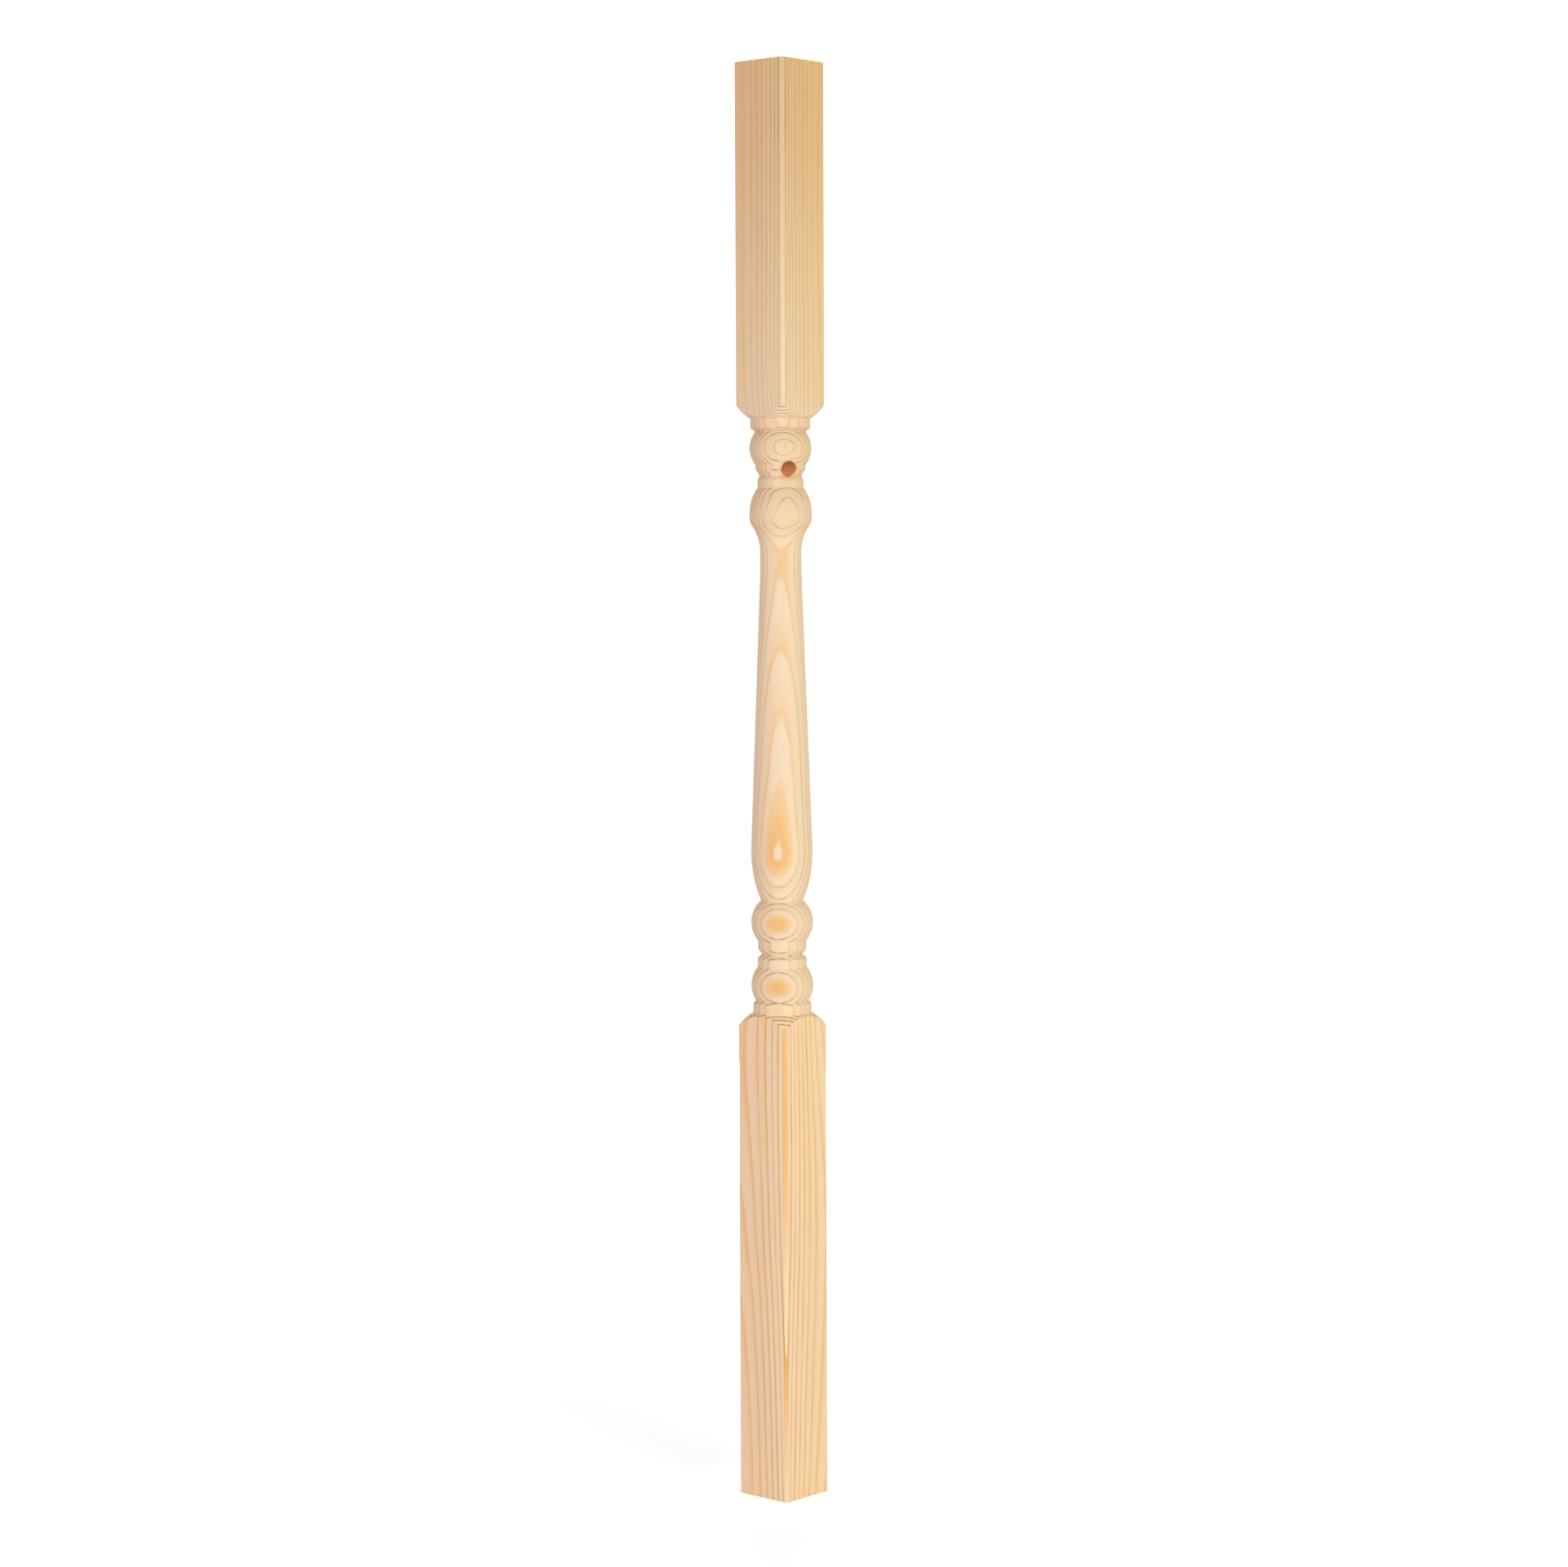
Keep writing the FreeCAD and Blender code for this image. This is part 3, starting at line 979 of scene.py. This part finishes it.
# %% A spot for the sawn top
SPOT_LEVEL = 0.35
SPOT_HEIGHT = 2.4
SPOT_CONE = math.radians(4.5)
SPOT_BLEND = 1.0
SPOT_RADIUS = 0.02

spot_data = bpy.data.lights.new("top", "SPOT")
spot_data.spot_size = SPOT_CONE
spot_data.spot_blend = SPOT_BLEND
spot_data.shadow_soft_size = SPOT_RADIUS
spot_data.energy = SPOT_LEVEL * (2 * math.pi * (SPOT_HEIGHT - POST_LENGTH * MM)) ** 2
spot = bpy.data.objects.new("top", spot_data)
bpy.context.collection.objects.link(spot)
spot.location = (0, 0, SPOT_HEIGHT)
print("top lamp of", round(spot_data.energy, 1), "watts")

# %% [markdown]
# ## Camera
# The camera stands about two paces away, at two thirds of the post's height, and looks a
# little down. A level camera with a shifted lens would keep the sides of the post exactly
# parallel, but the shift would cut the post in views from other sides. It is turned so
# that one corner of the square blocks points almost straight at it.

# %% Camera
CAMERA_AZIMUTH = math.radians(41.5)
CAMERA_DISTANCE = 2.2
CAMERA_HEIGHT = 0.6
AIM_HEIGHT = 0.4519
AIM_SIDE = 0.0015
LENS = 80.55
LEAN = math.radians(0.21)

camera_data = bpy.data.cameras.new("camera")
camera_data.lens = LENS
camera = bpy.data.objects.new("camera", camera_data)
bpy.context.collection.objects.link(camera)
camera.location = round_the_post(CAMERA_AZIMUTH, CAMERA_DISTANCE, CAMERA_HEIGHT)
right = Vector((math.cos(CAMERA_AZIMUTH), math.sin(CAMERA_AZIMUTH), 0))
aim = Vector((0, 0, AIM_HEIGHT)) + right * AIM_SIDE
roll = Matrix.Rotation(-LEAN, 4, "Z").to_quaternion()
camera.rotation_mode = "QUATERNION"
camera.rotation_quaternion = facing(camera.location, aim) @ roll
bpy.context.scene.camera = camera
print("camera", [round(v, 3) for v in camera.location], "m, lens", LENS, "mm")

# %% [markdown]
# ## Colour view
# A film look could be laid over the picture, but the colours were written as they are
# seen, so they are shown as they are.

# %% Finish
bpy.context.scene.view_settings.view_transform = "Standard"
